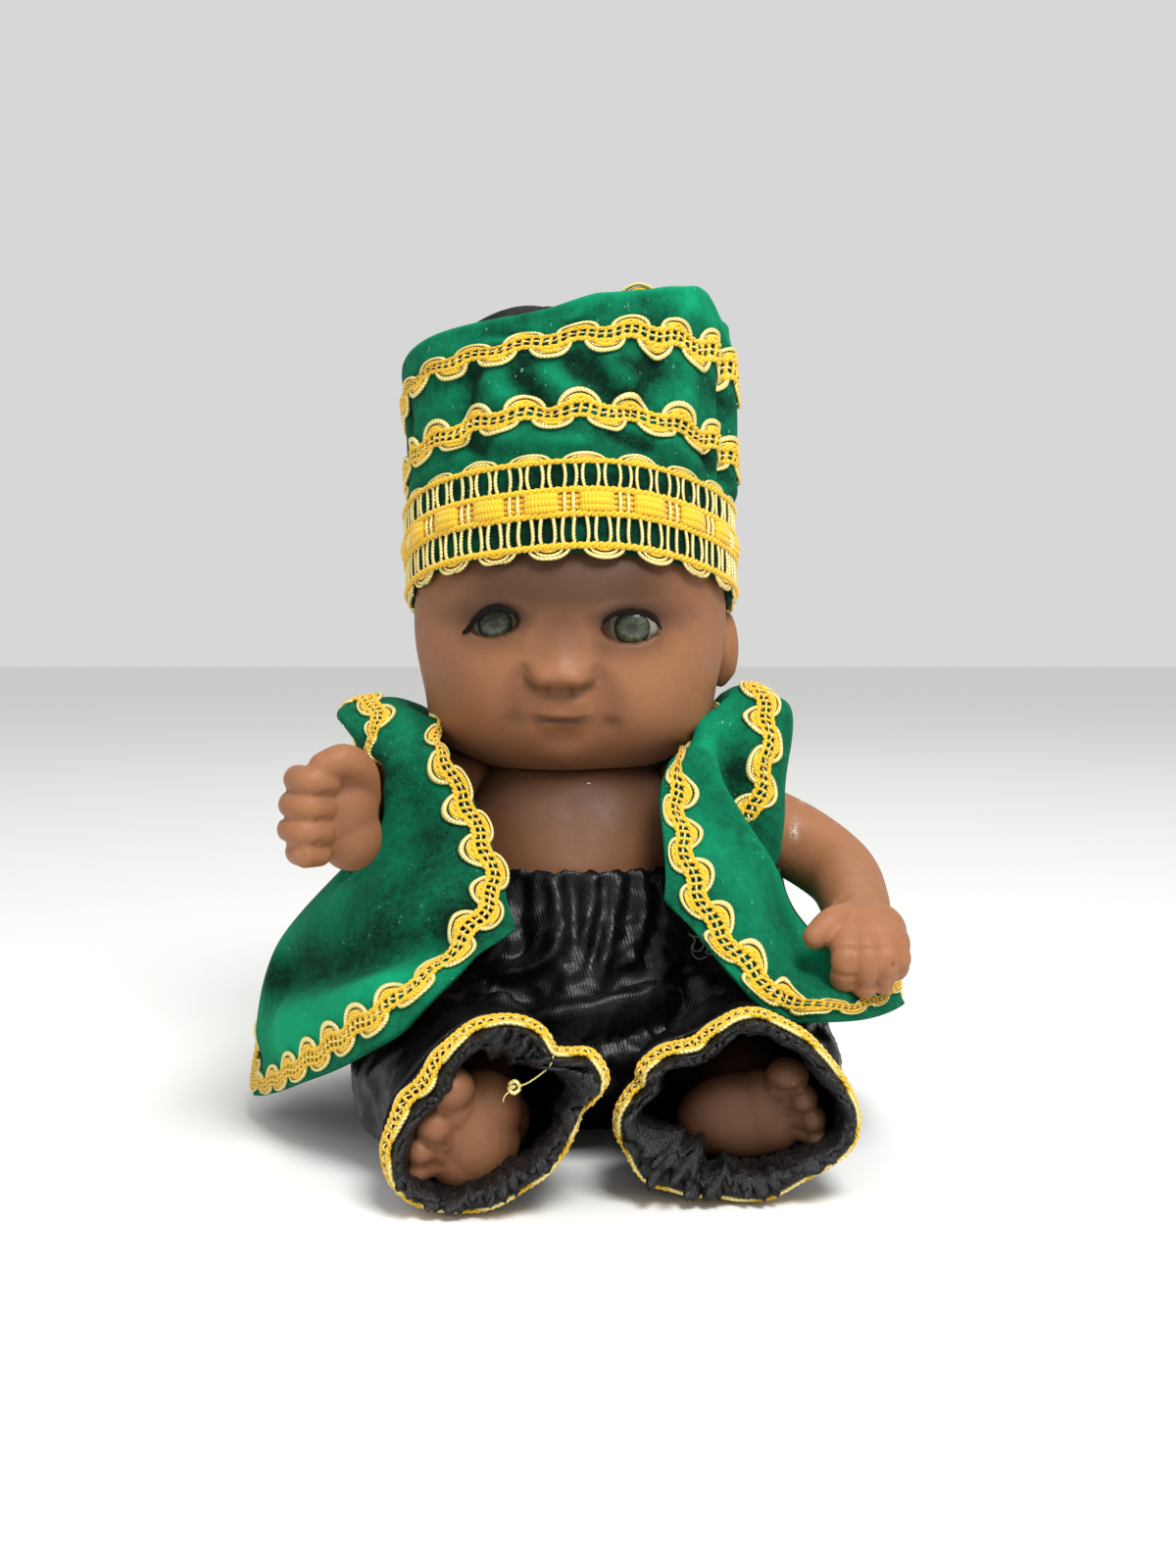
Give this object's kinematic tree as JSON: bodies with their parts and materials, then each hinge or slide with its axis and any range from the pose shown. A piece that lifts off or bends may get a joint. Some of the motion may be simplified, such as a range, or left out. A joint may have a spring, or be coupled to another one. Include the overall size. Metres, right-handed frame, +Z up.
{
  "type": "dressed orisha doll",
  "caption": "Small brown vinyl baby doll sitting on the floor, dressed as an orisha in a green velvet cap and open vest with gold braid and black satin trousers.",
  "frame": {"origin": "on the floor under the middle of the seat, on the flat underside of the trousers", "axes": "+Z up, the doll looks toward -Y, +X is the viewer's right"},
  "size_m": [0.1562, 0.1416, 0.1945],
  "materials": {
    "vinyl": "satin brown vinyl",
    "eyes": "glossy grey-green iris on white",
    "velvet": "green velvet, short pile",
    "satin": "black ribbed satin",
    "gimp": "yellow and metallic gold cord braid"
  },
  "bodies": {
    "root": {"head": "vinyl", "left_eye": "eyes", "right_eye": "eyes", "torso": "vinyl", "left_arm": "vinyl", "right_arm": "vinyl", "left_leg": "vinyl", "right_leg": "vinyl", "cap": "velvet", "cap_crown": "satin", "cap_top_braid": "gimp", "cap_middle_braid": "gimp", "cap_brow_band": "gimp", "vest": "velvet", "vest_edge_braid": "gimp", "left_armhole_braid": "gimp", "right_armhole_braid": "gimp", "trousers": "satin", "left_cuff_braid": "gimp", "right_cuff_braid": "gimp"}
  },
  "joints": []
}
